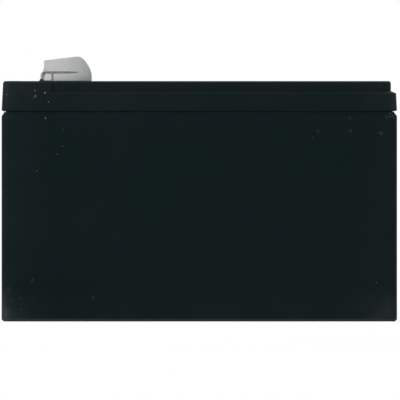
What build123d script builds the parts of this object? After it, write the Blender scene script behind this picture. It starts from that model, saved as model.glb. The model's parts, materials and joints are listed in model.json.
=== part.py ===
"""Sealed lead acid battery, 12 volt, six absorbed glass mat cells in series.

Lengths are in millimetres. The origin is at the middle of the container's underside, +X runs along the
length away from the terminals, -Y is the front long side and +Z is up.
"""

import os
from math import radians, tan

from build123d import *

os.makedirs("parts", exist_ok=True)

# Overall
length = 151.0
width = 65.0
deck_z = 91.8
corner_radius = 2.5

# Container
wall = 3.0
floor = 3.0
partition = 1.6
bottom_chamfer = 0.8
shoulder_chamfer_in = 1.2
shoulder_chamfer_down = 1.7
shoulder_z = 80.1
rim_inset = 1.7
rim_height = 3.0
columns = 3
rows = 2

# Lid
seam_gap = 0.5
adhesive_thickness = 0.6
lid_draft_angle = 3.0
head_length = 18.1
deck_setback = 2.3
deck_corner_radius = 3.0
ledge_drop = 4.7
ledge_rise = 0.85
deck_edge_chamfer = 0.6
deck_plate = 2.2
rib_depth = 2.5
rib_thickness = 1.5
rib_clearance = 0.15

# Vent pocket, chimneys, valve caps and cover
chimney_shift = 8.9
chimney_y = 8.0
chimney_diameter = 5.8
chimney_bore = 3.0
chimney_height = 3.3
pocket_wall = 1.8
pocket_margin_x = 9.0
pocket_margin_y = 7.0
cover_corner_chamfer = 1.5
cover_thickness = 1.8
cover_ledge = 2.0
cover_clearance = 0.1
cover_chamfer = 0.3
gas_notch_width = 3.0
gas_notch_depth = 0.8
gas_notch_spacing = 30.0
valve_wall = 1.0
valve_clearance = 0.05
valve_lift = 0.4

# Plates and separators
positive_thickness = 3.0
negative_thickness = 1.9
least_ply = 0.85
stack_clearance = 0.1
plate_end_gap = 1.2
separator_end_gap = 0.3
plate_top_z = 70.0
separator_top_z = 72.0
lug_width = 9.0

# Straps and the welds between cells
strap_bottom_z = 73.5
strap_thickness = 3.0
strap_width = 11.0
upright_thickness = 2.2
upright_width = 8.0
upright_top_z = 80.6
upright_corner_chamfer = 1.6
weld_diameter = 4.8
weld_clearance = 0.05

# Terminals
terminal_inset_x = 15.2
terminal_inset_y = 10.0
post_diameter = 7.2
post_clearance = 0.05
post_slot_depth = 2.0
well_diameter = 11.2
well_depth = 5.4
well_floor = 1.7
boss_wall = 1.9
ring_section = 1.8
ring_clearance = 0.05
resin_clearance = 0.02
resin_below_deck = 0.2
resin_mound_height = 1.0
resin_mound_margin = 0.55
resin_mound_taper = 20.0

# Blade tabs
tab_thickness = 0.8
tab_width = 6.35
tab_rise = 3.5
tab_length = 10.9
tab_bend_radius = 1.2
tab_tip_chamfer = 1.0
tab_hole_diameter = 1.8
tab_hole_setback = 4.0
tab_fit = 0.05

# Push-on terminal caps
cap_width = 9.4
cap_nose_gap = 1.35
cap_length = 18.35
cap_slit_length = 12.8
cap_front_height = 4.75
cap_back_height = 6.15
cap_tail_length = 5.0
cap_tail_rise = 2.4
cap_tail_bulge_x = 1.6
cap_tail_bulge_z = 2.8
cap_deck_gap = 0.1
cap_nose_length = 3.0
cap_nose_setback = 0.35
cap_groove_width = 0.7
cap_groove_depth = 1.0
cap_lip_length = 0.75
cap_lip_height = 1.4
cap_edge_chamfer = 0.6

# Worked out from the sizes above
cell_length = (length - 2 * wall - (columns - 1) * partition) / columns
cell_width = (width - 2 * wall - (rows - 1) * partition) / rows
cell_pitch_x = cell_length + partition
cell_pitch_y = cell_width + partition
rim_top_z = shoulder_z + rim_height
groove_top_z = rim_top_z + adhesive_thickness
skirt_bottom_z = shoulder_z + seam_gap
rim_length = length - 2 * rim_inset
rim_width = width - 2 * rim_inset
ledge_z = deck_z - ledge_drop
ceiling_z = deck_z - deck_plate
cover_bottom_z = deck_z - cover_thickness
pocket_floor_z = cover_bottom_z - valve_lift - valve_wall - chimney_height
chimney_x = cell_pitch_x - chimney_shift
pocket_length = 2 * (chimney_x + pocket_margin_x)
pocket_width = 2 * (chimney_y + pocket_margin_y)
cover_pocket_length = pocket_length + 2 * cover_ledge
cover_pocket_width = pocket_width + 2 * cover_ledge
head_x = head_length - length / 2
terminal_x = terminal_inset_x - length / 2
terminal_y = width / 2 - terminal_inset_y
well_floor_z = deck_z - well_depth
boss_bottom_z = well_floor_z - well_floor
post_top_z = well_floor_z + ring_section
strap_top_z = strap_bottom_z + strap_thickness
strap_offset = cell_length / 2 - (terminal_inset_x - wall)
weld_z = (strap_bottom_z + upright_top_z) / 2
leg_x = terminal_x - tab_thickness / 2
blade_z = deck_z + tab_rise
slit_height = tab_thickness + 2 * tab_fit

# The stack takes as many positive plates as the cell holds, each in its own folded mat
stack_width = cell_width - 2 * stack_clearance
pair_width = positive_thickness + negative_thickness + 2 * least_ply
positive_count = int((stack_width - negative_thickness) / pair_width)
plates_width = positive_count * positive_thickness + (positive_count + 1) * negative_thickness
ply = (stack_width - plates_width) / (2 * positive_count)
plate_pitch = positive_thickness + negative_thickness + 2 * ply
plate_bottom_z = floor + ply


def write(piece, node):
    """Label a finished piece and write it as its own STEP file."""
    piece.part.label = node
    export_step(piece.part, f"parts/{node}.step")


def xz_plane(y):
    """Upright plane through y, whose sketch X is the part's X and whose sketch Y is the part's Z."""
    return Plane.XZ.offset(-y)


def cell_places():
    """Cell number, column and row, in the order of the current: along the front and back again."""
    places = []
    for column in range(columns):
        places.append((len(places) + 1, column - (columns - 1) / 2, -1))
    for column in reversed(range(columns)):
        places.append((len(places) + 1, column - (columns - 1) / 2, 1))
    return places


# Container: moulded box, chamfered shoulder, rim, six cells and holes for the welds between them
with BuildPart() as container:
    with BuildSketch() as outline:
        RectangleRounded(length, width, corner_radius)
    extrude(amount=shoulder_z)
    chamfer(container.faces().sort_by(Axis.Z)[0].edges(), bottom_chamfer)
    shoulder = container.faces().sort_by(Axis.Z)[-1]
    chamfer(shoulder.edges(), shoulder_chamfer_in, shoulder_chamfer_down, reference=shoulder)
    with BuildSketch(Plane.XY.offset(shoulder_z)) as rim_outline:
        Rectangle(rim_length, rim_width)
    extrude(amount=rim_height)
    with BuildSketch(Plane.XY.offset(floor)) as cell_outlines:
        with GridLocations(cell_pitch_x, cell_pitch_y, columns, rows):
            Rectangle(cell_length, cell_width)
    extrude(amount=rim_top_z - floor, mode=Mode.SUBTRACT)
    with BuildSketch(Plane.YZ) as cross_weld_holes:
        with Locations((-cell_pitch_y / 2, weld_z), (cell_pitch_y / 2, weld_z)):
            Circle(weld_diameter / 2 + weld_clearance)
    extrude(amount=length / 2 - wall - partition, both=True, mode=Mode.SUBTRACT)
    with BuildSketch(xz_plane(0)) as turn_weld_hole:
        with Locations(((columns - 1) / 2 * cell_pitch_x + strap_offset, weld_z)):
            Circle(weld_diameter / 2 + weld_clearance)
    extrude(amount=partition, both=True, mode=Mode.SUBTRACT)
write(container, "container")


# Adhesive: one bead on the rim and on every partition
with BuildPart() as lid_adhesive:
    with BuildSketch(Plane.XY.offset(rim_top_z)) as bead_outline:
        Rectangle(rim_length, rim_width)
        with GridLocations(cell_pitch_x, cell_pitch_y, columns, rows):
            Rectangle(cell_length, cell_width, mode=Mode.SUBTRACT)
    extrude(amount=adhesive_thickness)
write(lid_adhesive, "lid_adhesive")


# Space outside the deck: everything above the sloping ledge and outside the deck's upright walls. It starts
# at the end block's corners, and its near end slopes in to the deck at 45 degrees.
with BuildPart() as deck_step:
    ledge_inset = (ledge_z - skirt_bottom_z) * tan(radians(lid_draft_angle))
    ledge_slope = ledge_rise / (deck_setback - ledge_inset)
    overhang = wall
    ledge_foot_z = ledge_z - (overhang + ledge_inset) * ledge_slope
    ledge_top_z = ledge_z + ledge_rise
    with BuildSketch(Plane.XY.offset(ledge_foot_z)) as step_outline:
        with BuildLine() as step_line:
            Polyline(
                (head_x + width / 2, 0),
                (head_x - width / 2, width),
                (length, width),
                (length, -width),
                (head_x - width / 2, -width),
                close=True,
            )
        make_face()
    extrude(amount=deck_z)
    with BuildSketch(Plane.XY.offset(ledge_foot_z)) as ledge_foot:
        Rectangle(length + 2 * overhang, width + 2 * overhang)
    with BuildSketch(Plane.XY.offset(ledge_top_z)) as ledge_top:
        Rectangle(length - 2 * deck_setback, width - 2 * deck_setback)
    loft(ruled=True, mode=Mode.SUBTRACT)
    with BuildSketch(Plane.XY.offset(ledge_z)) as deck_outline:
        RectangleRounded(length - 2 * deck_setback, width - 2 * deck_setback, deck_corner_radius)
    extrude(amount=2 * deck_z, mode=Mode.SUBTRACT)


# Lid: drafted skirt and end block, stepped deck, ribs and chambers below, vent pocket and terminal wells
with BuildPart() as lid:
    with BuildSketch(Plane.XY.offset(skirt_bottom_z)) as skirt_outline:
        RectangleRounded(length, width, corner_radius)
    extrude(amount=deck_z - skirt_bottom_z, taper=lid_draft_angle)
    add(deck_step.part, mode=Mode.SUBTRACT)
    chamfer(lid.faces().sort_by(Axis.Z)[-1].outer_wire().edges(), deck_edge_chamfer)

    with BuildSketch(Plane.XY.offset(skirt_bottom_z)) as groove:
        Rectangle(rim_length + 2 * rib_clearance, rim_width + 2 * rib_clearance)
    extrude(amount=groove_top_z - skirt_bottom_z, mode=Mode.SUBTRACT)
    with BuildSketch(Plane.XY.offset(groove_top_z)) as rib_outlines:
        with GridLocations(cell_pitch_x, cell_pitch_y, columns, rows):
            Rectangle(cell_length - 2 * rib_clearance, cell_width - 2 * rib_clearance)
        with GridLocations(cell_pitch_x, cell_pitch_y, columns, rows):
            Rectangle(
                cell_length - 2 * (rib_clearance + rib_thickness),
                cell_width - 2 * (rib_clearance + rib_thickness),
                mode=Mode.SUBTRACT,
            )
    extrude(amount=-rib_depth)
    with BuildSketch(Plane.XY.offset(groove_top_z)) as chamber_outlines:
        with GridLocations(cell_pitch_x, cell_pitch_y, columns, rows):
            Rectangle(
                cell_length - 2 * (rib_clearance + rib_thickness),
                cell_width - 2 * (rib_clearance + rib_thickness),
            )
    extrude(amount=ceiling_z - groove_top_z, mode=Mode.SUBTRACT)

    with BuildSketch(Plane.XY.offset(groove_top_z)) as pocket_block:
        Rectangle(cover_pocket_length + 2 * pocket_wall, cover_pocket_width + 2 * pocket_wall)
    extrude(amount=ceiling_z - groove_top_z)
    with BuildSketch(Plane.XY.offset(deck_z)) as cover_pocket:
        Rectangle(cover_pocket_length, cover_pocket_width)
        chamfer(cover_pocket.vertices(), cover_corner_chamfer)
    extrude(amount=-cover_thickness, mode=Mode.SUBTRACT)
    with BuildSketch(Plane.XY.offset(cover_bottom_z)) as valve_pocket:
        Rectangle(pocket_length, pocket_width)
    extrude(amount=pocket_floor_z - cover_bottom_z, mode=Mode.SUBTRACT)
    with BuildSketch(Plane.XY.offset(pocket_floor_z)) as chimneys:
        with GridLocations(chimney_x, 2 * chimney_y, columns, rows):
            Circle(chimney_diameter / 2)
    extrude(amount=chimney_height)
    with Locations(Plane.XY.offset(pocket_floor_z + chimney_height)):
        with GridLocations(chimney_x, 2 * chimney_y, columns, rows):
            Hole(chimney_bore / 2, depth=chimney_height + pocket_floor_z - groove_top_z)

    with BuildSketch(Plane.XY.offset(boss_bottom_z)) as bosses:
        with Locations((terminal_x, -terminal_y), (terminal_x, terminal_y)):
            Rectangle(well_diameter + 2 * boss_wall, well_diameter + 2 * boss_wall)
    extrude(amount=ceiling_z - boss_bottom_z)
    with Locations((terminal_x, -terminal_y, deck_z), (terminal_x, terminal_y, deck_z)):
        CounterBoreHole(
            post_diameter / 2 + post_clearance,
            well_diameter / 2,
            well_depth,
            depth=deck_z - boss_bottom_z,
        )
write(lid, "lid")


# Vent cover: flush plate on the pocket's ledge, with notches that let gas out
with BuildPart() as vent_cover:
    with BuildSketch(Plane.XY.offset(cover_bottom_z)) as cover_outline:
        Rectangle(cover_pocket_length - 2 * cover_clearance, cover_pocket_width - 2 * cover_clearance)
        chamfer(cover_outline.vertices(), cover_corner_chamfer)
        notch_y = cover_pocket_width - 2 * cover_clearance - gas_notch_depth
        with GridLocations(gas_notch_spacing, notch_y, columns, rows):
            Rectangle(gas_notch_width, gas_notch_depth, mode=Mode.SUBTRACT)
    extrude(amount=cover_thickness)
    chamfer(vent_cover.faces().sort_by(Axis.Z)[-1].outer_wire().edges(), cover_chamfer)
write(vent_cover, "vent_cover")


def make_valve_cap(number, x, y):
    """Rubber cap that sits on one chimney and lifts when gas presses."""
    inner_radius = chimney_diameter / 2 + valve_clearance
    outer_radius = inner_radius + valve_wall
    height = chimney_height + valve_wall
    with BuildPart() as valve_cap:
        with BuildSketch(Plane.XY.offset(pocket_floor_z)) as valve_outline:
            with Locations((x, y)):
                Circle(outer_radius)
        extrude(amount=height)
        with BuildSketch(Plane.XY.offset(pocket_floor_z)) as valve_bore:
            with Locations((x, y)):
                Circle(inner_radius)
        extrude(amount=chimney_height, mode=Mode.SUBTRACT)
    write(valve_cap, f"valve_cap_{number}")


for number, column, row in cell_places():
    make_valve_cap(number, column * chimney_x, row * chimney_y)


def make_plates(node, middle_x, first_y, thickness, count, lug_x):
    """Plates of one polarity in one cell, each with its lug up to the strap."""
    lug_height = strap_bottom_z - plate_top_z
    with BuildPart() as plates:
        for index in range(count):
            with BuildSketch(xz_plane(first_y + index * plate_pitch)) as plate_face:
                with Locations((middle_x, (plate_top_z + plate_bottom_z) / 2)):
                    Rectangle(cell_length - 2 * plate_end_gap, plate_top_z - plate_bottom_z)
                with Locations((lug_x, plate_top_z + lug_height / 2)):
                    Rectangle(lug_width, lug_height)
            extrude(amount=thickness / 2, both=True)
    write(plates, node)


def make_separators(node, middle_x, first_y):
    """Glass mat folded under and up both sides of each positive plate."""
    inner_width = positive_thickness
    outer_width = positive_thickness + 2 * ply
    mat_height = separator_top_z - floor
    with BuildPart() as separators:
        for index in range(positive_count):
            y = first_y + index * plate_pitch
            with BuildSketch(Plane.YZ.offset(middle_x)) as fold:
                with Locations((y, floor + mat_height / 2)):
                    Rectangle(outer_width, mat_height)
                with Locations((y, floor + ply + mat_height / 2)):
                    Rectangle(inner_width, mat_height, mode=Mode.SUBTRACT)
            extrude(amount=cell_length / 2 - separator_end_gap, both=True)
    write(separators, node)


def make_strap(node, x, y_low, y_high, upright):
    """Cast bar over the lugs, with an upright against a partition where a weld passes the current on.

    upright is None at a terminal, or the partition's face and the side of the strap that it lies on.
    """
    middle_y = (y_low + y_high) / 2
    with BuildPart() as strap:
        with BuildSketch(Plane.XY.offset(strap_bottom_z)) as bar:
            with Locations((x, middle_y)):
                Rectangle(strap_width, y_high - y_low)
        extrude(amount=strap_thickness)
        if upright is not None:
            axis, face, side, across = upright
            reach = abs(face - (x if axis == "x" else across))
            middle = face - side * reach / 2
            with BuildSketch(Plane.XY.offset(strap_bottom_z)) as arm:
                if axis == "x":
                    with Locations((middle, across)):
                        Rectangle(reach, upright_width)
                else:
                    with Locations((x, middle)):
                        Rectangle(upright_width, reach)
            extrude(amount=strap_thickness)
            plane = Plane.YZ.offset(face) if axis == "x" else xz_plane(face)
            upright_height = upright_top_z - strap_bottom_z
            with BuildSketch(plane) as upright_face:
                with Locations((across if axis == "x" else x, strap_bottom_z + upright_height / 2)):
                    Rectangle(upright_width, upright_height)
                chamfer(upright_face.vertices().group_by(Axis.Y)[-1], upright_corner_chamfer)
            direction = (-side, 0, 0) if axis == "x" else (0, -side, 0)
            extrude(amount=upright_thickness, dir=direction)
    write(strap, node)


def make_cell(number, column, row):
    """Plates, mats and straps of one cell; the front row runs from - to +, the back row the other way."""
    middle_x = column * cell_pitch_x
    middle_y = row * cell_pitch_y / 2
    stack_y = middle_y - stack_width / 2
    first_negative_y = stack_y + negative_thickness / 2
    first_positive_y = first_negative_y + plate_pitch / 2
    negative_side = row
    last_column = (columns - 1) / 2
    for polarity, side in (("negative", negative_side), ("positive", -negative_side)):
        if polarity == "negative":
            first_y, thickness, count = first_negative_y, negative_thickness, positive_count + 1
        else:
            first_y, thickness, count = first_positive_y, positive_thickness, positive_count
        strap_x = middle_x + side * strap_offset
        make_plates(f"cell_{number}_{polarity}_plates", middle_x, first_y, thickness, count, strap_x)
        y_low = first_y - thickness / 2
        y_high = first_y + (count - 1) * plate_pitch + thickness / 2
        if abs(column + side) <= last_column:
            upright = ("x", middle_x + side * cell_length / 2, side, middle_y)
        elif side > 0:
            upright = ("y", row * partition / 2, -row, middle_y)
        else:
            upright = None
        make_strap(f"cell_{number}_{polarity}_strap", strap_x, y_low, y_high, upright)
    make_separators(f"cell_{number}_separators", middle_x, first_positive_y)


for number, column, row in cell_places():
    make_cell(number, column, row)


def make_weld(node, plane):
    """Lead slug that joins two uprights through the hole in a partition."""
    with BuildPart() as weld:
        with BuildSketch(plane) as weld_section:
            Circle(weld_diameter / 2)
        extrude(amount=partition / 2, both=True)
    write(weld, node)


for index in range(columns - 1):
    wall_x = (index + 1 - columns / 2) * cell_pitch_x
    front_cell = index + 1
    back_cell = rows * columns - 1 - index
    for cell, row in ((front_cell, -1), (back_cell, 1)):
        weld_centre = (wall_x, row * cell_pitch_y / 2, weld_z)
        make_weld(f"weld_{cell}_{cell + 1}", Plane(weld_centre, z_dir=(1, 0, 0)))
turn_centre = ((columns - 1) / 2 * cell_pitch_x + strap_offset, 0, weld_z)
make_weld(f"weld_{columns}_{columns + 1}", Plane(turn_centre, z_dir=(0, 1, 0)))


def make_post(name, y):
    """Lead post from the strap up into the lid's well, slotted across its top for the tab."""
    with BuildPart() as post:
        with BuildSketch(Plane.XY.offset(strap_top_z)) as shaft:
            with Locations((terminal_x, y)):
                Circle(post_diameter / 2)
        extrude(amount=post_top_z - strap_top_z)
        with BuildSketch(Plane.XY.offset(post_top_z)) as slot:
            with Locations((terminal_x, y)):
                Rectangle(tab_thickness + 2 * tab_fit, post_diameter)
        extrude(amount=-post_slot_depth, mode=Mode.SUBTRACT)
    write(post, f"{name}_post")


def make_ring(name, y):
    """Square rubber ring round the post, on the floor of the well."""
    inner_radius = post_diameter / 2 + ring_clearance
    with BuildPart() as ring:
        with BuildSketch(Plane.XY.offset(well_floor_z)) as ring_outline:
            with Locations((terminal_x, y)):
                Circle(inner_radius + ring_section)
                Circle(inner_radius, mode=Mode.SUBTRACT)
        extrude(amount=ring_section)
    write(ring, f"{name}_seal_ring")


def make_seal(name, y):
    """Potting resin in the well, drawn up in a small mound where the tab comes out."""
    resin_top_z = deck_z - resin_below_deck
    mound_length = tab_width + 2 * resin_mound_margin
    mound_width = tab_thickness + 2 * resin_mound_margin
    with BuildPart() as seal:
        with BuildSketch(Plane.XY.offset(post_top_z)) as resin:
            with Locations((terminal_x, y)):
                Circle(well_diameter / 2 - resin_clearance)
        extrude(amount=resin_top_z - post_top_z)
        with BuildSketch(Plane.XY.offset(resin_top_z)) as mound:
            with Locations((terminal_x, y)):
                Rectangle(mound_width, mound_length)
        extrude(amount=resin_mound_height, taper=resin_mound_taper)
        with BuildSketch(Plane.XY.offset(post_top_z)) as tab_space:
            with Locations((terminal_x, y)):
                Rectangle(tab_thickness + 2 * resin_clearance, tab_width + 2 * resin_clearance)
        extrude(amount=deck_z - post_top_z + resin_mound_height, mode=Mode.SUBTRACT)
    write(seal, f"{name}_terminal_seal")


def make_tab(name, y):
    """Blade terminal: a leg in the post's slot, bent over into a horizontal blade."""
    leg_bottom_z = post_top_z - post_slot_depth
    top_z = blade_z + tab_thickness / 2
    under_z = blade_z - tab_thickness / 2
    tip_x = leg_x + tab_length
    inner_x = leg_x + tab_thickness
    with BuildPart() as tab:
        with BuildSketch(xz_plane(y)) as strip:
            with BuildLine() as strip_outline:
                Polyline(
                    (leg_x, leg_bottom_z),
                    (leg_x, top_z),
                    (tip_x, top_z),
                    (tip_x, under_z),
                    (inner_x, under_z),
                    (inner_x, leg_bottom_z),
                    close=True,
                )
            make_face()
            corners = strip.vertices()
            fillet(corners.sort_by_distance((leg_x, top_z))[0], tab_bend_radius + tab_thickness)
            corners = strip.vertices()
            fillet(corners.sort_by_distance((inner_x, under_z))[0], tab_bend_radius)
        extrude(amount=tab_width / 2, both=True)
        tip_corners = tab.edges().filter_by(Axis.Z).group_by(Axis.X)[-1]
        chamfer(tip_corners, tab_tip_chamfer)
        with Locations((tip_x - tab_hole_setback, y, top_z)):
            Hole(tab_hole_diameter / 2, depth=tab_thickness)
    write(tab, f"{name}_tab")


def make_cap(name, y):
    """Push-on insulating cap: two jaws round the blade, a nose, a sloping top and a rounded closed end."""
    nose_x = leg_x + cap_nose_gap
    tail_x = nose_x + cap_length
    bottom_z = deck_z + cap_deck_gap
    slope_end = (tail_x - cap_tail_length, blade_z + cap_back_height)
    tail_start = (tail_x, bottom_z + cap_tail_rise)
    bulge = (tail_x - cap_tail_bulge_x, slope_end[1] - cap_tail_bulge_z)
    with BuildPart() as cap:
        with BuildSketch(xz_plane(y)) as profile:
            with BuildLine() as cap_outline:
                Polyline(
                    tail_start,
                    (tail_x, bottom_z),
                    (nose_x, bottom_z),
                    (nose_x, blade_z + cap_front_height),
                    slope_end,
                )
                ThreePointArc(slope_end, bulge, tail_start)
            make_face()
        extrude(amount=cap_width / 2, both=True)
        for side_face in cap.faces().filter_by(Axis.Y):
            chamfer(side_face.outer_wire().edges(), cap_edge_chamfer)
        with BuildSketch(xz_plane(y)) as slit:
            with Locations((nose_x, blade_z)):
                Rectangle(cap_slit_length, slit_height, align=(Align.MIN, Align.CENTER))
        extrude(amount=cap_width, both=True, mode=Mode.SUBTRACT)
        with BuildSketch(xz_plane(y)) as nose_front:
            with Locations((nose_x, blade_z)):
                Rectangle(cap_nose_setback, tab_rise, align=(Align.MIN, Align.MAX))
        extrude(amount=cap_width, both=True, mode=Mode.SUBTRACT)
        with BuildSketch(Plane.XY.offset(bottom_z)) as nose_grooves:
            for side in (-1, 1):
                groove_y = y + side * (cap_width - cap_groove_depth) / 2
                with Locations((nose_x + cap_nose_length, groove_y)):
                    Rectangle(cap_groove_width, cap_groove_depth, align=(Align.MIN, Align.CENTER))
        extrude(amount=blade_z - bottom_z, mode=Mode.SUBTRACT)
        with BuildSketch(xz_plane(y)) as lip:
            lip_z = blade_z + slit_height / 2
            with BuildLine() as lip_outline:
                Polyline(
                    (nose_x + cap_edge_chamfer, lip_z),
                    (nose_x - cap_lip_length, lip_z),
                    (nose_x, lip_z + cap_lip_height),
                    (nose_x + cap_edge_chamfer, lip_z + cap_lip_height),
                    close=True,
                )
            make_face()
        extrude(amount=cap_width / 2 - cap_edge_chamfer, both=True)
    write(cap, f"{name}_terminal_cap")


for name, y in (("negative", -terminal_y), ("positive", terminal_y)):
    make_post(name, y)
    make_ring(name, y)
    make_seal(name, y)
    make_tab(name, y)
    make_cap(name, y)
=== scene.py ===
import json
import math
import random

import bmesh
import bpy
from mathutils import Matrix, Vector


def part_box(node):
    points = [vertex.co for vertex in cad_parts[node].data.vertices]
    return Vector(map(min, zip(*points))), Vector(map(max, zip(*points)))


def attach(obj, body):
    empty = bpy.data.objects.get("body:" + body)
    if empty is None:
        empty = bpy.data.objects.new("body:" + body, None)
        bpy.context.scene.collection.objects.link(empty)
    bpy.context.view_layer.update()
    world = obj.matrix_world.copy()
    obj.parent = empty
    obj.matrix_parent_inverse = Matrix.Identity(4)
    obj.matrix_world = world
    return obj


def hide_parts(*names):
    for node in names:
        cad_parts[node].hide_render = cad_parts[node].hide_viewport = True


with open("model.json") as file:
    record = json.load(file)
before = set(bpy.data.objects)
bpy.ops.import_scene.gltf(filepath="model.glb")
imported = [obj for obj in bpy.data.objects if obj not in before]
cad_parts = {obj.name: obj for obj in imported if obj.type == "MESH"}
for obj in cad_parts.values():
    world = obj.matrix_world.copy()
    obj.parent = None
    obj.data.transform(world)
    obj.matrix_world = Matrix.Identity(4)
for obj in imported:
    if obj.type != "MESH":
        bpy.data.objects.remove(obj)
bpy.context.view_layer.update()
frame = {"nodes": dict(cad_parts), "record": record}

MM = 0.001

# The photograph's frame, in its own 400 by 400 pixels, and the battery's two ends and its foot in it
PHOTO_SIZE = 400
PHOTO_LEFT = 1.5
PHOTO_RIGHT = 397.1
PHOTO_BOTTOM = 321.5
CAMERA_DISTANCE = 6.0
SENSOR_WIDTH = 36.0

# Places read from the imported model
container_low, container_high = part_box("container")
lid_low, lid_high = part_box("lid")
_, blade_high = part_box("negative_tab")
cap_low, cap_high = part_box("negative_terminal_cap")
front_y = container_low.y
deck_z = lid_high.z
pixel = (container_high.x - container_low.x) / (PHOTO_RIGHT - PHOTO_LEFT)

# Pale film on the black mouldings, strongest low down towards the ends, with painted light on the lid's band
# and painted reflection on the rounded corners: how far it reaches, and how strong it is at each place
FILM_REACH = 21 * MM
FILM_HEIGHT = 19 * MM
FILM_PATCH = 7 * MM
FILM_UNEVEN = (0.6, 1.4)
FAR_END_FILM = 0.95
MIDDLE_FILM = 0.12
FOOT_FILM = 0.75
RIM_REACH = 5 * MM
NEAR_RIM_PAINTED_REFLECTION = 1.5
FAR_RIM_PAINTED_REFLECTION = (0.14, 0.38)
FAR_RIM_STEP = 1.0 * MM
HEAD_PAINTED_LIGHT = (0.08, 0.3)
HEAD_FAR_SHARE = 0.5
HEAD_MIDDLE_PAINTED_LIGHT = 0.1

# Painted light on the ramp at the end of the terminal block, lifting its shade, as lengths from its start and
# depths under the deck
RAMP_START = container_low.x + 18.0 * MM
RAMP_RISE = 0.2 * MM
RAMP_FADE_START = 2.2 * MM
RAMP_FADE_END = 3.6 * MM
RAMP_HIGH = 4.0 * MM
RAMP_LOW = 5.0 * MM
RAMP_PAINTED_LIGHT = 0.45

# Painted reflection of the floor along the foot's edge, and painted light in the shaded seam under the lid
FOOT_LINE_FULL = 0.6 * MM
FOOT_LINE_END = 1.2 * MM
FOOT_REFLECTION_STRENGTH = 0.8
FOOT_PAINTED_REFLECTION = (0.042, 0.049, 0.053)
SEAM_FULL = 0.6 * MM
SEAM_END = 1.1 * MM
SEAM_SOFTNESS = 0.05 * MM
SEAM_PAINTED_LIGHT = (0.016, 0.033, 0.037)

# Wear along the edges, less on the long side that the photograph shows than away from it
WEAR_RADIUS = 0.35 * MM
WEAR_START = front_y + 1.5 * MM
WEAR_END = front_y + 5.0 * MM
WEAR_FRONT = 0.35
WEAR_AWAY = 0.9
SPECK_STRENGTH = 0.35

# Painted light and shade on the push-on cap: painted light makes it paler at its nose and down its lower jaw,
# and painted shade makes it darker towards its tail
CAP_PAINTED_LIGHT_TOP = blade_high.z - 1.8 * MM
CAP_NOSE_HIGH = CAP_PAINTED_LIGHT_TOP + 0.6 * MM
CAP_NOSE_FULL = cap_low.x + 3.85 * MM
CAP_NOSE_END = cap_low.x + 4.05 * MM
CAP_TAIL_FULL = cap_high.x - 3.0 * MM
CAP_TAIL_START = cap_high.x - 12.5 * MM
CAP_GREY = (0.448, 0.449, 0.449)
CAP_CLOUD = (0.478, 0.477, 0.475)
CAP_UNDER_PAINTED_LIGHT = (0.465, 0.52, 0.505)
CAP_TAIL_PAINTED_SHADE = (0.372, 0.393, 0.397)
CAP_NOSE_PAINTED_LIGHT = (0.54, 0.54, 0.55)
CAP_NOSE_UNDER_PAINTED_LIGHT = (0.74, 0.74, 0.75)

# The stretch that most values of a noise lie in
CLOUDY = (0.3, 0.7)

# Rounding of edges in the shading: rays drawn for it, and the cosines at which an edge starts and is full
BEVEL_SAMPLES = 8
EDGE_START = 0.995
EDGE_FULL = 0.9


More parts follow.
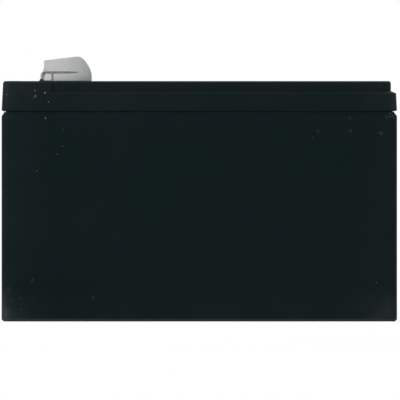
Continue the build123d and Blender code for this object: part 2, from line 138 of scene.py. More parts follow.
class Finish:
    """One procedural material, worked out in the part's own coordinates in metres."""

    def __init__(self, name):
        self.material = bpy.data.materials.new(name)
        self.material.use_nodes = True
        self.tree = self.material.node_tree
        self.shader = self.tree.nodes["Principled BSDF"]
        self.place = self.node("ShaderNodeTexCoord").outputs["Object"]

    def node(self, kind, **settings):
        made = self.tree.nodes.new(kind)
        for key, value in settings.items():
            setattr(made, key, value)
        return made

    def link(self, source, target):
        self.tree.links.new(source, target)

    def constant(self, **values):
        """Sets the shader's own sockets, named with underscores for spaces."""
        for key, value in values.items():
            self.shader.inputs[key.replace("_", " ")].default_value = value

    def axis(self, name):
        """The place along the part's X, Y or Z, in metres."""
        split = self.node("ShaderNodeSeparateXYZ")
        self.link(self.place, split.inputs[0])
        return split.outputs[name]

    def stretched(self, scale):
        """The coordinates scaled differently along each axis, for streaks and hairlines."""
        mapping = self.node("ShaderNodeMapping")
        mapping.inputs["Scale"].default_value = scale
        self.link(self.place, mapping.inputs["Vector"])
        return mapping.outputs["Vector"]

    def noise(self, size, detail=3.0, roughness=0.5, place=None):
        """Cloudy value from 0 to 1 whose patches are about this large, in metres."""
        made = self.node("ShaderNodeTexNoise")
        made.inputs["Scale"].default_value = 1.0 / size
        made.inputs["Detail"].default_value = detail
        made.inputs["Roughness"].default_value = roughness
        self.link(place or self.place, made.inputs["Vector"])
        return made.outputs["Fac"]

    def spots(self, size, radius):
        """1 in small round spots, one to a cell of this size in metres, and 0 elsewhere."""
        made = self.node("ShaderNodeTexVoronoi")
        made.inputs["Scale"].default_value = 1.0 / size
        self.link(self.place, made.inputs["Vector"])
        return self.span(made.outputs["Distance"], radius / size, 0.6 * radius / size)

    def span(self, source, low, high, to_low=0.0, to_high=1.0):
        """The source's stretch from low to high, spread over to_low to to_high and held beyond it."""
        made = self.node("ShaderNodeMapRange")
        made.inputs["From Min"].default_value = low
        made.inputs["From Max"].default_value = high
        made.inputs["To Min"].default_value = to_low
        made.inputs["To Max"].default_value = to_high
        self.link(source, made.inputs["Value"])
        return made.outputs["Result"]

    def math(self, operation, first, second):
        made = self.node("ShaderNodeMath", operation=operation)
        for socket, value in zip(made.inputs, (first, second)):
            if isinstance(value, (int, float)):
                socket.default_value = value
            else:
                self.link(value, socket)
        return made.outputs["Value"]

    def plus(self, first, second):
        return self.math("ADD", first, second)

    def times(self, first, second):
        return self.math("MULTIPLY", first, second)

    def larger(self, first, second):
        return self.math("MAXIMUM", first, second)

    def squared(self, value):
        return self.times(value, value)

    def blend(self, factor, first, second):
        """Colour that goes from the first to the second as the factor goes from 0 to 1."""
        made = self.node("ShaderNodeMix", data_type="RGBA")
        self.link(factor, made.inputs["Factor"])
        for socket, colour in ((made.inputs["A"], first), (made.inputs["B"], second)):
            if isinstance(colour, tuple):
                socket.default_value = (*colour, 1.0)
            else:
                self.link(colour, socket)
        return made.outputs["Result"]

    def rounded_normal(self, radius):
        """The surface's direction as if its edges were rounded by this radius."""
        rounded = self.node("ShaderNodeBevel", samples=BEVEL_SAMPLES)
        rounded.inputs["Radius"].default_value = radius
        return rounded.outputs["Normal"]

    def edges(self, radius):
        """1 along the solid's outer edges, within about this radius, and 0 on its faces."""
        geometry = self.node("ShaderNodeNewGeometry")
        dot = self.node("ShaderNodeVectorMath", operation="DOT_PRODUCT")
        self.link(self.rounded_normal(radius), dot.inputs[0])
        self.link(geometry.outputs["Normal"], dot.inputs[1])
        return self.span(dot.outputs["Value"], EDGE_START, EDGE_FULL)

    def relief(self, heights, edge_radius=0.0):
        """Bumps, each a height value and a depth in metres, over edges rounded by the radius."""
        normal = self.rounded_normal(edge_radius) if edge_radius else None
        for height, depth in heights:
            bump = self.node("ShaderNodeBump")
            bump.inputs["Distance"].default_value = depth
            self.link(height, bump.inputs["Height"])
            if normal is not None:
                self.link(normal, bump.inputs["Normal"])
            normal = bump.outputs["Normal"]
        self.link(normal, self.shader.inputs["Normal"])

    def colour(self, source):
        self.link(source, self.shader.inputs["Base Color"])

    def roughness(self, source):
        self.link(source, self.shader.inputs["Roughness"])

    def cloudy_roughness(self, size, low, high):
        """Roughness that wanders from low to high in patches of this size in metres."""
        self.roughness(self.span(self.noise(size), *CLOUDY, low, high))


def pale_film_and_painted_light(finish):
    """How pale the moulding is made at each place: a film strongest low down towards the ends, painted light
    on the lid's band, the ramp and in the seam under the lid, and painted reflection on the rounded corners
    and along the foot's edge.
    """
    x, z = finish.axis("X"), finish.axis("Z")
    near_x, far_x, seam_z = container_low.x, container_high.x, lid_low.z
    near_end = finish.squared(finish.span(x, near_x, near_x + FILM_REACH, 1.0, 0.0))
    far_end = finish.squared(finish.span(x, far_x, far_x - FILM_REACH, FAR_END_FILM, 0.0))
    # Painted reflection on the rounded corners at the two ends, brighter on the lid at the far end
    near_rim = finish.times(finish.squared(finish.span(x, near_x + RIM_REACH, near_x)), NEAR_RIM_PAINTED_REFLECTION)
    far_rim = finish.squared(finish.span(x, far_x - RIM_REACH, far_x))
    far_rim = finish.times(far_rim, finish.span(z, seam_z - FAR_RIM_STEP, seam_z, *FAR_RIM_PAINTED_REFLECTION))

    ends = finish.plus(finish.plus(near_end, far_end), finish.plus(near_rim, MIDDLE_FILM))
    foot = finish.squared(finish.span(z, 0.0, FILM_HEIGHT, 1.0, 0.0))
    low = finish.times(finish.times(foot, ends), FOOT_FILM)

    # Painted light on the lid's band between seam and deck, strongest towards its ends
    head_ends = finish.larger(near_end, finish.times(far_end, HEAD_FAR_SHARE))
    # Painted light on the ramp, lifting its shade
    ramp = finish.times(
        finish.span(x, RAMP_START, RAMP_START + RAMP_RISE),
        finish.span(x, RAMP_START + RAMP_FADE_END, RAMP_START + RAMP_FADE_START))
    ramp = finish.times(ramp, finish.span(z, deck_z - RAMP_LOW, deck_z - RAMP_HIGH, 0.0, RAMP_PAINTED_LIGHT))
    head_ends = finish.plus(finish.plus(head_ends, HEAD_MIDDLE_PAINTED_LIGHT), ramp)
    head = finish.times(finish.span(z, seam_z, deck_z, *HEAD_PAINTED_LIGHT), head_ends)

    uneven = finish.span(finish.noise(FILM_PATCH, detail=4.0), 0.35, 0.65, *FILM_UNEVEN)
    film = finish.times(finish.larger(finish.larger(low, head), far_rim), uneven)
    # Painted light in the seam under the lid, lifting its shade
    seam = finish.times(
        finish.span(z, seam_z - SEAM_END, seam_z - SEAM_FULL),
        finish.span(z, seam_z + SEAM_SOFTNESS, seam_z - SEAM_SOFTNESS))
    # Painted reflection of the pale floor along the foot's edge
    foot_painted_reflection = finish.span(z, FOOT_LINE_END, FOOT_LINE_FULL, 0.0, FOOT_REFLECTION_STRENGTH)
    return film, seam, foot_painted_reflection


def black_plastic(name, deep, cloud, dust_wear_and_painted_light, rough_low, rough_high):
    """Moulded black plastic: fine grain, an uneven thin pale film, painted light and painted reflection, dust
    specks, hairlines and paler edges from wear.
    """
    finish = Finish(name)
    finish.constant(Specular_IOR_Level=0.05)
    film, seam, foot_painted_reflection = pale_film_and_painted_light(finish)
    colour = finish.blend(finish.span(finish.noise(45 * MM, detail=4.0), 0.35, 0.75), deep, cloud)
    # Painted light in the seam
    colour = finish.blend(seam, colour, SEAM_PAINTED_LIGHT)
    # Pale film, with painted light and painted reflection in it
    colour = finish.blend(film, colour, dust_wear_and_painted_light)
    # Painted reflection along the foot's edge
    colour = finish.blend(foot_painted_reflection, colour, FOOT_PAINTED_REFLECTION)
    specks = finish.spots(6 * MM, 0.12 * MM)
    colour = finish.blend(finish.times(specks, SPECK_STRENGTH), colour, dust_wear_and_painted_light)
    edge = finish.times(finish.edges(WEAR_RADIUS), finish.noise(4 * MM, detail=2.0))
    wear = finish.span(finish.axis("Y"), WEAR_START, WEAR_END, WEAR_FRONT, WEAR_AWAY)
    finish.colour(finish.blend(finish.times(edge, wear), colour, dust_wear_and_painted_light))
    smears = finish.noise(20 * MM, detail=5.0, place=finish.stretched((1.0, 1.0, 2.5)))
    finish.roughness(finish.span(smears, *CLOUDY, rough_low, rough_high))
    hairlines = finish.noise(0.5 * MM, detail=1.0, place=finish.stretched((0.02, 0.02, 1.0)))
    grain = finish.noise(0.35 * MM, detail=2.0)
    finish.relief(((grain, 0.006 * MM), (hairlines, 0.004 * MM)), edge_radius=0.3 * MM)
    return finish.material


def cap_plastic():
    """Milky soft plastic that a little light gets into, with painted light paler at its nose and towards its
    foot and painted shade darker towards its tail.
    """
    finish = Finish("milky_grey_plastic")
    finish.constant(
        Specular_IOR_Level=0.35,
        Subsurface_Weight=0.12,
        Subsurface_Scale=1.2 * MM,
        Subsurface_Radius=(1.0, 0.95, 0.9),
    )
    x, z = finish.axis("X"), finish.axis("Z")
    # Painted light: paler towards the foot, where shade from the deck falls
    under = finish.span(z, CAP_PAINTED_LIGHT_TOP, cap_low.z)
    # Painted shade: darker towards the tail, where the sides turn from the light
    tail = finish.span(x, CAP_TAIL_START, CAP_TAIL_FULL)
    # Painted light on the nose, paler still at its foot
    nose = finish.times(
        finish.span(x, CAP_NOSE_END, CAP_NOSE_FULL),
        finish.span(z, CAP_NOSE_HIGH, CAP_PAINTED_LIGHT_TOP))
    colour = finish.blend(finish.span(finish.noise(6 * MM), *CLOUDY), CAP_GREY, CAP_CLOUD)
    colour = finish.blend(under, colour, CAP_UNDER_PAINTED_LIGHT)
    colour = finish.blend(tail, colour, CAP_TAIL_PAINTED_SHADE)
    nose_colour = finish.blend(under, CAP_NOSE_PAINTED_LIGHT, CAP_NOSE_UNDER_PAINTED_LIGHT)
    finish.colour(finish.blend(nose, colour, nose_colour))
    finish.cloudy_roughness(2 * MM, 0.42, 0.55)
    dimple = finish.noise(0.6 * MM, detail=2.0)
    finish.relief(((dimple, 0.01 * MM),), edge_radius=0.15 * MM)
    return finish.material


def tinned_metal():
    """Bright tin over brass, with fine rolling lines and a few dull spots."""
    bright, dull = (0.34, 0.335, 0.33), (0.16, 0.155, 0.15)
    finish = Finish("tinned_blade")
    finish.constant(Metallic=1.0)
    finish.colour(finish.blend(finish.span(finish.noise(1.5 * MM, detail=4.0), 0.45, 0.7), bright, dull))
    finish.cloudy_roughness(1 * MM, 0.28, 0.46)
    lines = finish.noise(0.2 * MM, detail=1.0, place=finish.stretched((0.05, 1.0, 1.0)))
    finish.relief(((lines, 0.003 * MM),), edge_radius=0.08 * MM)
    return finish.material


def potting_resin():
    """Black potting resin with a levelled, slightly rippled glossy surface."""
    deep, pale = (0.004, 0.005, 0.006), (0.012, 0.012, 0.013)
    finish = Finish("potting_resin")
    finish.constant(Specular_IOR_Level=0.2)
    finish.colour(finish.blend(finish.noise(3 * MM), deep, pale))
    finish.cloudy_roughness(1.2 * MM, 0.18, 0.32)
    finish.relief(((finish.noise(2.5 * MM, detail=2.0), 0.12 * MM),), edge_radius=0.25 * MM)
    return finish.material


def bead_adhesive():
    """Dark cured adhesive between lid and container, painted paler than it is as painted light that lifts the
    shade in the gap under the lid.
    """
    # Painted light: both colours are paler than the adhesive, to lift the shade in the gap under the lid
    deep, pale = (0.02, 0.034, 0.038), (0.04, 0.052, 0.055)
    finish = Finish("lid_adhesive_bead")
    finish.constant(Specular_IOR_Level=0.3)
    finish.colour(finish.blend(finish.noise(4 * MM), deep, pale))
    finish.cloudy_roughness(1 * MM, 0.3, 0.5)
    finish.relief(((finish.noise(1.5 * MM), 0.08 * MM),))
    return finish.material


def valve_rubber():
    """Matte black rubber with a dusting of talc."""
    black, talc = (0.012, 0.012, 0.012), (0.09, 0.09, 0.085)
    finish = Finish("valve_rubber")
    finish.constant(Specular_IOR_Level=0.3, Sheen_Weight=0.1)
    finish.colour(finish.blend(finish.span(finish.noise(1.2 * MM, detail=5.0), 0.5, 0.75), black, talc))
    finish.cloudy_roughness(0.8 * MM, 0.7, 0.9)
    finish.relief(((finish.noise(0.3 * MM), 0.01 * MM),), edge_radius=0.2 * MM)
    return finish.material


def cast_lead():
    """Dull cast lead with darker oxide in patches."""
    clean, oxidised = (0.33, 0.34, 0.36), (0.16, 0.165, 0.18)
    finish = Finish("cast_lead")
    finish.constant(Metallic=0.85)
    oxide = finish.span(finish.noise(3 * MM, detail=6.0, roughness=0.6), 0.4, 0.65)
    finish.colour(finish.blend(oxide, clean, oxidised))
    finish.roughness(finish.span(oxide, 0.0, 1.0, 0.42, 0.7))
    finish.relief(((finish.noise(0.8 * MM, detail=4.0), 0.05 * MM),), edge_radius=0.3 * MM)
    return finish.material


def plate_paste(name, dark, pale):
    """Cured paste on a cast grid, whose bars show through as a lattice of low ribs."""
    finish = Finish(name)
    finish.constant(Specular_IOR_Level=0.2)
    bars = finish.node("ShaderNodeTexBrick", offset=0.0)
    bars.inputs["Scale"].default_value = 1.0
    bars.inputs["Brick Width"].default_value = 7.0 * MM
    bars.inputs["Row Height"].default_value = 4.0 * MM
    bars.inputs["Mortar Size"].default_value = 0.35 * MM
    bars.inputs["Mortar Smooth"].default_value = 0.6
    upright = finish.node("ShaderNodeMapping")
    upright.inputs["Rotation"].default_value = (math.radians(-90.0), 0.0, 0.0)
    finish.link(finish.place, upright.inputs["Vector"])
    finish.link(upright.outputs["Vector"], bars.inputs["Vector"])
    crumbs = finish.noise(0.9 * MM, detail=6.0, roughness=0.65)
    finish.colour(finish.blend(finish.span(crumbs, *CLOUDY), dark, pale))
    finish.roughness(finish.span(crumbs, *CLOUDY, 0.75, 0.95))
    finish.relief(((crumbs, 0.12 * MM), (bars.outputs["Fac"], 0.15 * MM)))
    return finish.material


def glass_mat():
    """White mat of fine glass fibres, damp and soft."""
    shaded, white = (0.72, 0.72, 0.69), (0.88, 0.88, 0.86)
    finish = Finish("glass_mat_fibre")
    finish.constant(Specular_IOR_Level=0.25, Sheen_Weight=0.3)
    across = finish.noise(0.7 * MM, place=finish.stretched((0.15, 1.0, 1.0)))
    upward = finish.noise(0.7 * MM, place=finish.stretched((1.0, 1.0, 0.15)))
    fibres = finish.plus(finish.times(across, 0.5), finish.times(upward, 0.5))
    finish.colour(finish.blend(finish.span(fibres, 0.35, 0.65), shaded, white))
    finish.roughness(finish.span(fibres, *CLOUDY, 0.85, 0.98))
    finish.relief(((fibres, 0.1 * MM),))
    return finish.material


def lint(name, pale, dim):
    """Pale dust and lint that lies on the plastic."""
    finish = Finish(name)
    finish.constant(Specular_IOR_Level=0.1)
    finish.colour(finish.blend(finish.noise(0.3 * MM, detail=2.0), dim, pale))
    finish.cloudy_roughness(0.4 * MM, 0.85, 0.97)
    return finish.material


SHELL = black_plastic(
    "container_black_plastic", deep=(0.0016, 0.0066, 0.0073), cloud=(0.0034, 0.0080, 0.0088),
    dust_wear_and_painted_light=(0.029, 0.034, 0.037), rough_low=0.5, rough_high=0.62)
COVER = black_plastic(
    "lid_black_plastic", deep=(0.0020, 0.0068, 0.0075), cloud=(0.0050, 0.0088, 0.0096),
    dust_wear_and_painted_light=(0.033, 0.038, 0.041), rough_low=0.48, rough_high=0.6)
PLATE = black_plastic(
    "vent_cover_black_plastic", deep=(0.0024, 0.0066, 0.0072), cloud=(0.0055, 0.009, 0.0096),
    dust_wear_and_painted_light=(0.032, 0.036, 0.038), rough_low=0.5, rough_high=0.62)
CAP = cap_plastic()
FINISH_OF_SLOT = {
    "container_plastic": SHELL,
    "lid_plastic": COVER,
    "vent_cover_plastic": PLATE,
    "adhesive": bead_adhesive(),
    "resin": potting_resin(),
    "cap_plastic": CAP,
    "tinned_brass": tinned_metal(),
    "rubber": valve_rubber(),
    "lead": cast_lead(),
    "positive_paste": plate_paste("positive_plate_paste", (0.035, 0.014, 0.008), (0.085, 0.04, 0.024)),
    "negative_paste": plate_paste("negative_plate_paste", (0.16, 0.17, 0.19), (0.30, 0.31, 0.33)),
    "glass_mat": glass_mat(),
}


def finish_cad_nodes():
    """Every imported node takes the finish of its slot."""
    for subpart in frame["record"]["subparts"]:
        node = frame["nodes"][subpart["node"]]
        finish = FINISH_OF_SLOT[subpart["material_slot"]]
        if not node.material_slots:
            node.data.materials.append(finish)
        for material_slot in node.material_slots:
            material_slot.material = finish


def add_piece(name, bm, material, smooth_angle=40.0):
    """Turns a bmesh into a piece of the part, in its body, with its finish."""
    mesh = bpy.data.meshes.new(name)
    bmesh.ops.recalc_face_normals(bm, faces=bm.faces)
    bm.to_mesh(mesh)
    bm.free()
    mesh.materials.append(material)
    mesh.shade_smooth()
    mesh.set_sharp_from_angle(angle=math.radians(smooth_angle))
    piece = bpy.data.objects.new(name, mesh)
    bpy.context.scene.collection.objects.link(piece)
    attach(piece, "root")
    return piece


def arc_through(start, middle, end, count):
    """Points of the circle's arc from start through middle to end, both ends included."""
    (ax, az), (bx, bz), (cx, cz) = start, middle, end
    d = 2 * (ax * (bz - cz) + bx * (cz - az) + cx * (az - bz))
    a2, b2, c2 = ax * ax + az * az, bx * bx + bz * bz, cx * cx + cz * cz
    x = (a2 * (bz - cz) + b2 * (cz - az) + c2 * (az - bz)) / d
    z = (a2 * (cx - bx) + b2 * (ax - cx) + c2 * (bx - ax)) / d
    radius = math.hypot(ax - x, az - z)
    first = math.atan2(az - z, ax - x)
    last = math.atan2(cz - z, cx - x)
    if last > first:
        last -= 2 * math.pi
    return [
        (x + radius * math.cos(first + (last - first) * i / count),
         z + radius * math.sin(first + (last - first) * i / count))
        for i in range(count + 1)
    ]


def close_sides(bm, first, second):
    """Faces all round between two loops of as many points."""
    for i in range(len(first)):
        j = (i + 1) % len(first)
        bm.faces.new((first[j], first[i], second[i], second[j]))


def prism(bm, outline, middle_y, width):
    """Closed prism across the part with this outline in X and Z; returns its two end faces."""
    front, back = [
        [bm.verts.new((x, middle_y + side * width / 2, z)) for x, z in outline]
        for side in (-1, 1)]
    faces = [bm.faces.new(front), bm.faces.new(list(reversed(back)))]
    close_sides(bm, front, back)
    return faces


def block(bm, x_low, x_high, z_low, z_high, middle_y, width):
    """Closed rectangular prism across the part; returns its two end faces."""
    outline = [(x_low, z_low), (x_low, z_high), (x_high, z_high), (x_high, z_low)]
    return prism(bm, outline, middle_y, width)


# Rounded edges, cuts and arcs: how finely they are divided
ROUNDING_STEPS = 3
ROUND_PROFILE = 0.5
ARC_STEPS = 16
CUT_STEPS = 16
CUT_TOLERANCE = 1e-7
GUARD_WIDTH = 0.05 * MM
SQUARE_TO_Y = 0.99


def round_edges(bm, faces, radius, spared=lambda edge: False):
    """Rounds the rims of these faces, apart from the edges that the test spares."""
    rims = {edge for face in faces for edge in face.edges if not spared(edge)}
    bmesh.ops.bevel(
        bm, geom=list(rims), offset=radius, offset_type="OFFSET", segments=ROUNDING_STEPS,
        profile=ROUND_PROFILE, affect="EDGES", clamp_overlap=True)


def guard_flats(bm, faces):
    """Sets a narrow border inside these flat faces, so that smooth shading leaves them flat."""
    bmesh.ops.inset_individual(bm, faces=faces, thickness=GUARD_WIDTH, use_even_offset=True)


def flat_sides(bm, smallest):
    """The faces square to Y that are larger than this, in square metres."""
    bm.normal_update()
    return [face for face in bm.faces if abs(face.normal.y) > SQUARE_TO_Y and face.calc_area() > smallest]


def cut_across(bm, x):
    """Adds a line of edges all round the mesh at this place along the part."""
    bmesh.ops.bisect_plane(
        bm, geom=[*bm.verts, *bm.edges, *bm.faces], dist=CUT_TOLERANCE, plane_co=(x, 0.0, 0.0),
        plane_no=(1.0, 0.0, 0.0))


# Sizes that the solid cap and its blade have too
CAP_SLIT_LENGTH = 12.8 * MM
CAP_NOSE_LENGTH = 3.0 * MM
CAP_NOSE_SETBACK = 0.35 * MM
CAP_GROOVE_WIDTH = 0.7 * MM
CAP_GROOVE_DEPTH = 1.0 * MM
CAP_LIP_LENGTH = 0.75 * MM
CAP_LIP_RISE = 1.4 * MM
BLADE_THICKNESS = 0.8 * MM

# Softened forms that the cap has only here. Its profile lies a little inside the solid's, and the points of
# its top and tail are places in from the tail and down from the top.
CAP_INSET = 0.25 * MM
CAP_TAIL_INSET = 0.45 * MM
CAP_GRIP = 0.2 * MM
CAP_UNDER_GAP = 0.6 * MM
CAP_LIP_DROP = 0.45 * MM
CAP_FRONT_DROP = 1.45 * MM
CAP_FRONT_CORNER = 0.45 * MM
CAP_CORNER_CUT = 0.3
CAP_TOP_END = (5.4 * MM, 0.0)
CAP_TOP_BEND = (3.3 * MM, 0.6 * MM)
CAP_SHOULDER = (1.95 * MM, 2.1 * MM)
CAP_FLANK = (0.65 * MM, 4.4 * MM)
CAP_TAIL_END = (0.0, 7.0 * MM)
CAP_EDGE_RADIUS = 0.3 * MM
CAP_SMALLEST_FLAT = 10 * MM * MM
CAP_TAIL_REACH = 13.0 * MM
CAP_TAIL_POWER = 2.0
CAP_TAIL_SHARE = 0.88
CAP_NOSE_TURN = 0.4 * MM
CAP_WEB_LENGTH = 0.8 * MM
CAP_WEB_DEPTH = 1.25 * MM
CAP_SLIT_TAPER = 0.18 * MM
CAP_OVERLAP = 0.2 * MM


def narrow_tail(bm, tail_x, middle_y):
    """Draws the cap's sides in toward its tail, so that its plan is rounded there."""
    for i in range(CUT_STEPS):
        cut_across(bm, tail_x - CAP_TAIL_REACH * (i + 0.5) / CUT_STEPS)
    for vert in bm.verts:
        along = max(0.0, (vert.co.x - tail_x + CAP_TAIL_REACH) / CAP_TAIL_REACH)
        share = (1 - (CAP_TAIL_SHARE * along) ** CAP_TAIL_POWER) ** (1 / CAP_TAIL_POWER)
        vert.co.y = middle_y + (vert.co.y - middle_y) * share


def terminal_cap(name):
    """Push-on cap: two jaws, a nose set off by a groove, a lip over the blade's bend and a rounded tail."""
    low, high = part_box(f"{name}_terminal_cap")
    tab_low, tab_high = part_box(f"{name}_tab")
    middle_y = (low.y + high.y) / 2
    width = high.y - low.y
    blade_z = tab_high.z - BLADE_THICKNESS / 2
    slit_top = blade_z + CAP_GRIP
    slit_bottom = blade_z - CAP_UNDER_GAP
    front_x = low.x + CAP_LIP_LENGTH
    nose_x = front_x + CAP_NOSE_SETBACK
    nose_end = front_x + CAP_NOSE_LENGTH
    jaw_x = nose_end + CAP_GROOVE_WIDTH
    slit_end = front_x + CAP_SLIT_LENGTH
    tail_x = high.x - CAP_TAIL_INSET
    top_z = high.z - CAP_INSET
    front_top = top_z - CAP_FRONT_DROP
    corner_cut = CAP_CORNER_CUT * CAP_FRONT_CORNER
    top_end, top_bend, shoulder, flank, tail_end = (
        (tail_x - inward, top_z - down)
        for inward, down in (CAP_TOP_END, CAP_TOP_BEND, CAP_SHOULDER, CAP_FLANK, CAP_TAIL_END))

    bm = bmesh.new()
    outline = [
        (low.x, slit_top - CAP_LIP_DROP),
        (front_x, slit_top + CAP_LIP_RISE),
        (front_x, front_top - CAP_FRONT_CORNER),
        (front_x + corner_cut, front_top - corner_cut),
        (front_x + CAP_FRONT_CORNER, front_top),
        *arc_through(top_end, top_bend, shoulder, ARC_STEPS),
        *arc_through(shoulder, flank, tail_end, ARC_STEPS)[1:],
        (tail_x, low.z),
        (jaw_x, low.z),
        (jaw_x, slit_bottom),
        (tab_high.x, slit_bottom),
        (slit_end, slit_bottom + CAP_SLIT_TAPER),
        (slit_end, slit_top - CAP_SLIT_TAPER),
        (tab_high.x, slit_top),
        (front_x + CAP_FRONT_CORNER, slit_top),
    ]
    sides = prism(bm, outline, middle_y, width)

    def in_slit(edge):
        return all(abs(vert.co.z - blade_z) < BLADE_THICKNESS for vert in edge.verts)

    round_edges(bm, sides, CAP_EDGE_RADIUS, in_slit)
    guard_flats(bm, flat_sides(bm, CAP_SMALLEST_FLAT))
    narrow_tail(bm, tail_x, middle_y)

    # Nose, with its sides turned in toward the front
    nose_sides = block(bm, nose_x, nose_end, low.z, slit_bottom, middle_y, width)
    for vert in {vert for side in nose_sides for vert in side.verts}:
        inward = CAP_NOSE_TURN * (nose_end - vert.co.x) / (nose_end - front_x)
        vert.co.y += inward if vert.co.y < middle_y else -inward
    round_edges(bm, nose_sides, CAP_EDGE_RADIUS)

    # Neck in the groove behind the nose, and the narrow web in front of it
    inner_z = low.z + CAP_OVERLAP
    block(bm, nose_end - CAP_OVERLAP, jaw_x + CAP_OVERLAP, inner_z, slit_bottom,
          middle_y, width - 2 * CAP_GROOVE_DEPTH)
    block(bm, nose_x - CAP_WEB_LENGTH, nose_x + CAP_OVERLAP, inner_z, slit_bottom,
          middle_y, width - 4 * CAP_GROOVE_DEPTH)

    # Webs that close the slit beside the blade's tip
    tab_width = tab_high.y - tab_low.y
    wall = (width - tab_width) / 2 - CAP_WEB_DEPTH
    for side in (-1, 1):
        block(bm, tab_high.x - CAP_WEB_LENGTH, slit_end + CAP_OVERLAP, slit_bottom - CAP_OVERLAP,
              slit_top + CAP_OVERLAP, middle_y + side * (tab_width + wall) / 2, wall)
    piece = add_piece(f"{name}_cap_rounded", bm, CAP)
    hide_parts(f"{name}_terminal_cap")


# Moulded polarity signs beside the terminals: a minus has one bar and a plus has two
SIGN_BARS = {"negative": 1, "positive": 2}
SIGN_LENGTH = 4.6 * MM
SIGN_BAR = 0.9 * MM
SIGN_HEIGHT = 0.1 * MM
SIGN_SINK = 0.1 * MM
SIGN_SHOULDER = 0.08 * MM
SIGN_FROM_END = 5.2 * MM
SIGN_SMOOTH_ANGLE = 60.0


def sign_outline(bars):
    """Outline of a minus or a plus about the origin, anticlockwise."""
    half, bar = SIGN_LENGTH / 2, SIGN_BAR / 2
    if bars == 1:
        return [(-half, -bar), (half, -bar), (half, bar), (-half, bar)]
    arm = [(half, -bar), (half, bar), (bar, bar)]
    outline = []
    for turn in range(4):
        cosine = round(math.cos(turn * math.pi / 2))
        sine = round(math.sin(turn * math.pi / 2))
        outline += [(x * cosine - y * sine, x * sine + y * cosine) for x, y in arm]
    return outline


def polarity_sign(name, y, bars):
    """Raised sign on the deck beside a terminal, with softened rims."""
    bm = bmesh.new()
    x0 = lid_low.x + SIGN_FROM_END
    low, high = [
        [bm.verts.new((x0 + x, y + v, z)) for x, v in sign_outline(bars)]
        for z in (deck_z - SIGN_SINK, deck_z + SIGN_HEIGHT)]
    bm.faces.new(list(reversed(low)))
    top = bm.faces.new(high)
    close_sides(bm, high, low)
    round_edges(bm, [top], SIGN_SHOULDER)
    add_piece(name, bm, COVER, smooth_angle=SIGN_SMOOTH_ANGLE)


# Dust on the long side that the photograph shows, and pale flakes at the right-hand corner of the shoulder
# under the lid that are painted glints where it catches light: pixel place in its frame, and radius in pixels
FLAKES_AND_GLINTS = (
    (35.0, 90.5, 0.75), (45.0, 92.7, 0.85), (35.5, 96.0, 0.95), (34.0, 97.4, 0.45), (48.5, 101.7, 0.55),
    (6.5, 94.5, 0.55), (45.5, 118.2, 0.55), (63.4, 129.5, 0.45), (62.4, 146.4, 0.4), (57.0, 154.0, 0.4),
    (37.0, 170.8, 0.4), (7.0, 199.7, 0.4), (376.5, 282.8, 0.45), (21.0, 309.0, 0.4), (388.0, 114.6, 0.35),
    (390.6, 113.4, 0.5), (392.3, 115.6, 0.45), (390.2, 116.8, 0.3), (393.8, 117.8, 0.3), (381.6, 134.2, 0.45),
)
SMUDGES = (
    (318.0, 131.5, 1.5), (350.5, 131.0, 2.0), (380.6, 132.6, 1.9), (386.5, 117.5, 1.8), (32.5, 280.5, 2.0),
    (93.0, 297.5, 2.2), (98.3, 113.3, 0.9), (312.5, 137.5, 1.2), (350.0, 118.0, 1.6), (8.5, 290.0, 2.4),
    (12.0, 301.0, 2.0), (20.0, 298.5, 1.7),
)
FLAKE_THICKNESS = 0.02 * MM
FLAKE_SINK = 0.03 * MM
FLAKE_LONGEST = 1.7
FLAKE_RAGGED = (0.7, 1.15)

# The container's sloped shoulder under the lid and the slope of the lid's skirt, as the solids have them
SHOULDER_IN = 1.2 * MM
SHOULDER_DOWN = 1.7 * MM
SHOULDER_Z = 80.1 * MM
LID_DRAFT_ANGLE = 3.0


def face_y(z):
    """Where the front lies at this height: on the container's wall or shoulder, or on the lid's skirt."""
    if z < lid_low.z:
        up_slope = min(1.0, max(0.0, (z - SHOULDER_Z + SHOULDER_DOWN) / SHOULDER_DOWN))
        return front_y + SHOULDER_IN * up_slope
    return lid_low.y + (z - lid_low.z) * math.tan(math.radians(LID_DRAFT_ANGLE))


def dust(name, places, material, seed, points):
    """Thin uneven flakes on the front, at the places given in the photograph's pixels."""
    draw = random.Random(seed)
    bm = bmesh.new()
    for px, py, size in places:
        x0 = container_low.x + (px - PHOTO_LEFT) * pixel
        z0 = (PHOTO_BOTTOM - py) * pixel
        turn = draw.uniform(0.0, math.tau)
        longer = draw.uniform(1.0, FLAKE_LONGEST)
        front, back = [], []
        for i in range(points):
            angle = math.tau * i / points
            reach = size * pixel * draw.uniform(*FLAKE_RAGGED)
            along, across = reach * longer * math.cos(angle), reach * math.sin(angle)
            x = x0 + along * math.cos(turn) - across * math.sin(turn)
            z = z0 + along * math.sin(turn) + across * math.cos(turn)
            front.append(bm.verts.new((x, face_y(z) - FLAKE_THICKNESS, z)))
            back.append(bm.verts.new((x, face_y(z) + FLAKE_SINK, z)))
        bm.faces.new(front)
        bm.faces.new(list(reversed(back)))
        close_sides(bm, front, back)
    add_piece(name, bm, material)


# The floor looks whiter than it is lit, and fully white far from the battery; distances in metres
FLOOR_SIZE = 6.0
FLOOR_COLOUR = (0.86, 0.86, 0.86, 1.0)
FLOOR_ROUGHNESS = 0.9
FLOOR_FADE = (0.3, 1.2)
FLOOR_WHITE = (0.8, 1.0)

# How bright the white surround is as a light, and as it is seen
SURROUND_LIGHT = 0.3
SURROUND_SEEN = 1.0

# Soft square lamps: place and target in metres, width in metres and power in watts
LAMPS = (
    ("key", (-0.7, -0.9, 0.9), (0.0, 0.0, 0.05), 0.9, 15.0),
    ("fill", (0.9, -0.7, 0.6), (0.0, 0.0, 0.05), 0.8, 1.5),
    ("top", (0.1, 0.35, 1.1), (0.0, 0.0, 0.08), 0.8, 6.0),
)


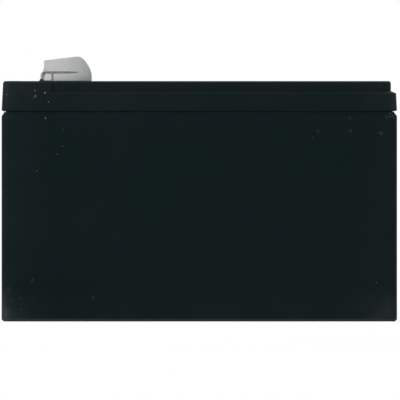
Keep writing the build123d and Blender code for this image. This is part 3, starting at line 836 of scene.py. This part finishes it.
def map_range(tree, source, low, high, to_low, to_high):
    """The source's stretch from low to high, spread over to_low to to_high and held beyond it."""
    made = tree.nodes.new("ShaderNodeMapRange")
    made.inputs["From Min"].default_value = low
    made.inputs["From Max"].default_value = high
    made.inputs["To Min"].default_value = to_low
    made.inputs["To Max"].default_value = to_high
    tree.links.new(source, made.inputs["Value"])
    return made.outputs["Result"]


def combine(tree, operation, first, second):
    made = tree.nodes.new("ShaderNodeMath")
    made.operation = operation
    tree.links.new(first, made.inputs[0])
    tree.links.new(second, made.inputs[1])
    return made.outputs[0]


def background_rays(tree):
    """1 for the rays that see the background as it looks: from the camera, by gloss or through glass."""
    path = tree.nodes.new("ShaderNodeLightPath")
    total = path.outputs["Is Camera Ray"]
    for output in ("Is Glossy Ray", "Is Transmission Ray"):
        total = combine(tree, "MAXIMUM", total, path.outputs[output])
    return total


def floor_material():
    """Matte pale floor, mixed with plain white for the rays that see it as it looks."""
    material = bpy.data.materials.new("pale_floor")
    material.use_nodes = True
    tree = material.node_tree
    shader = tree.nodes["Principled BSDF"]
    shader.inputs["Base Color"].default_value = FLOOR_COLOUR
    shader.inputs["Roughness"].default_value = FLOOR_ROUGHNESS
    shader.inputs["Specular IOR Level"].default_value = 0.0
    place = tree.nodes.new("ShaderNodeTexCoord")
    away = tree.nodes.new("ShaderNodeVectorMath")
    away.operation = "LENGTH"
    tree.links.new(place.outputs["Object"], away.inputs[0])
    white = map_range(tree, away.outputs["Value"], *FLOOR_FADE, *FLOOR_WHITE)
    glow = tree.nodes.new("ShaderNodeEmission")
    mix = tree.nodes.new("ShaderNodeMixShader")
    tree.links.new(combine(tree, "MULTIPLY", background_rays(tree), white), mix.inputs["Fac"])
    tree.links.new(shader.outputs["BSDF"], mix.inputs[1])
    tree.links.new(glow.outputs["Emission"], mix.inputs[2])
    tree.links.new(mix.outputs["Shader"], tree.nodes["Material Output"].inputs["Surface"])
    return material


def add_floor():
    bm = bmesh.new()
    bmesh.ops.create_grid(bm, x_segments=1, y_segments=1, size=FLOOR_SIZE)
    mesh = bpy.data.meshes.new("floor")
    bm.to_mesh(mesh)
    bm.free()
    floor = bpy.data.objects.new("floor", mesh)
    bpy.context.scene.collection.objects.link(floor)
    mesh.materials.append(floor_material())


def white_surround():
    """White to look at, and a weaker light on the battery."""
    world = bpy.data.worlds.new("white_surround")
    bpy.context.scene.world = world
    world.use_nodes = True
    tree = world.node_tree
    background = tree.nodes["Background"]
    background.inputs["Color"].default_value = (1.0, 1.0, 1.0, 1.0)
    strength = map_range(tree, background_rays(tree), 0.0, 1.0, SURROUND_LIGHT, SURROUND_SEEN)
    tree.links.new(strength, background.inputs["Strength"])


def lamp(name, place, target, size, power):
    data = bpy.data.lights.new(name, "AREA")
    data.shape = "SQUARE"
    data.size = size
    data.energy = power
    made = bpy.data.objects.new(name, data)
    made.location = place
    made.rotation_euler = (Vector(target) - Vector(place)).to_track_quat("-Z", "Y").to_euler()
    bpy.context.scene.collection.objects.link(made)


def camera():
    """Square on to the long side, at the middle of the photograph, framed as it is."""
    data = bpy.data.cameras.new("camera")
    frame_width = PHOTO_SIZE * pixel
    to_front = CAMERA_DISTANCE + front_y
    data.sensor_width = SENSOR_WIDTH
    data.lens = SENSOR_WIDTH * to_front / frame_width
    made = bpy.data.objects.new("camera", data)
    middle_x = container_low.x + (PHOTO_SIZE / 2 - PHOTO_LEFT) * pixel
    middle_z = (PHOTO_BOTTOM - PHOTO_SIZE / 2) * pixel
    made.location = (middle_x, -CAMERA_DISTANCE, middle_z)
    made.rotation_euler = (math.radians(90.0), 0.0, 0.0)
    bpy.context.scene.collection.objects.link(made)
    bpy.context.scene.camera = made


camera()
finish_cad_nodes()
for terminal, bars in SIGN_BARS.items():
    terminal_cap(terminal)
    tab_low, tab_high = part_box(f"{terminal}_tab")
    polarity_sign(f"{terminal}_sign", (tab_low.y + tab_high.y) / 2, bars)
# Painted glints: the pale flakes at the right-hand corner of the shoulder under the lid stand for light
# caught there
pale_lint_and_glint = lint("pale_lint_and_glint", pale=(0.16, 0.17, 0.17), dim=(0.07, 0.075, 0.075))
dust("dust_flakes_and_glints", FLAKES_AND_GLINTS, pale_lint_and_glint, seed=7, points=9)
thin_smudge = lint("thin_smudge", pale=(0.0125, 0.0175, 0.0185), dim=(0.009, 0.0145, 0.0155))
dust("dust_smudges", SMUDGES, thin_smudge, seed=11, points=16)
add_floor()
white_surround()
for name, place, target, size, power in LAMPS:
    lamp(name, place, target, size, power)
bpy.context.scene.view_settings.view_transform = "Standard"
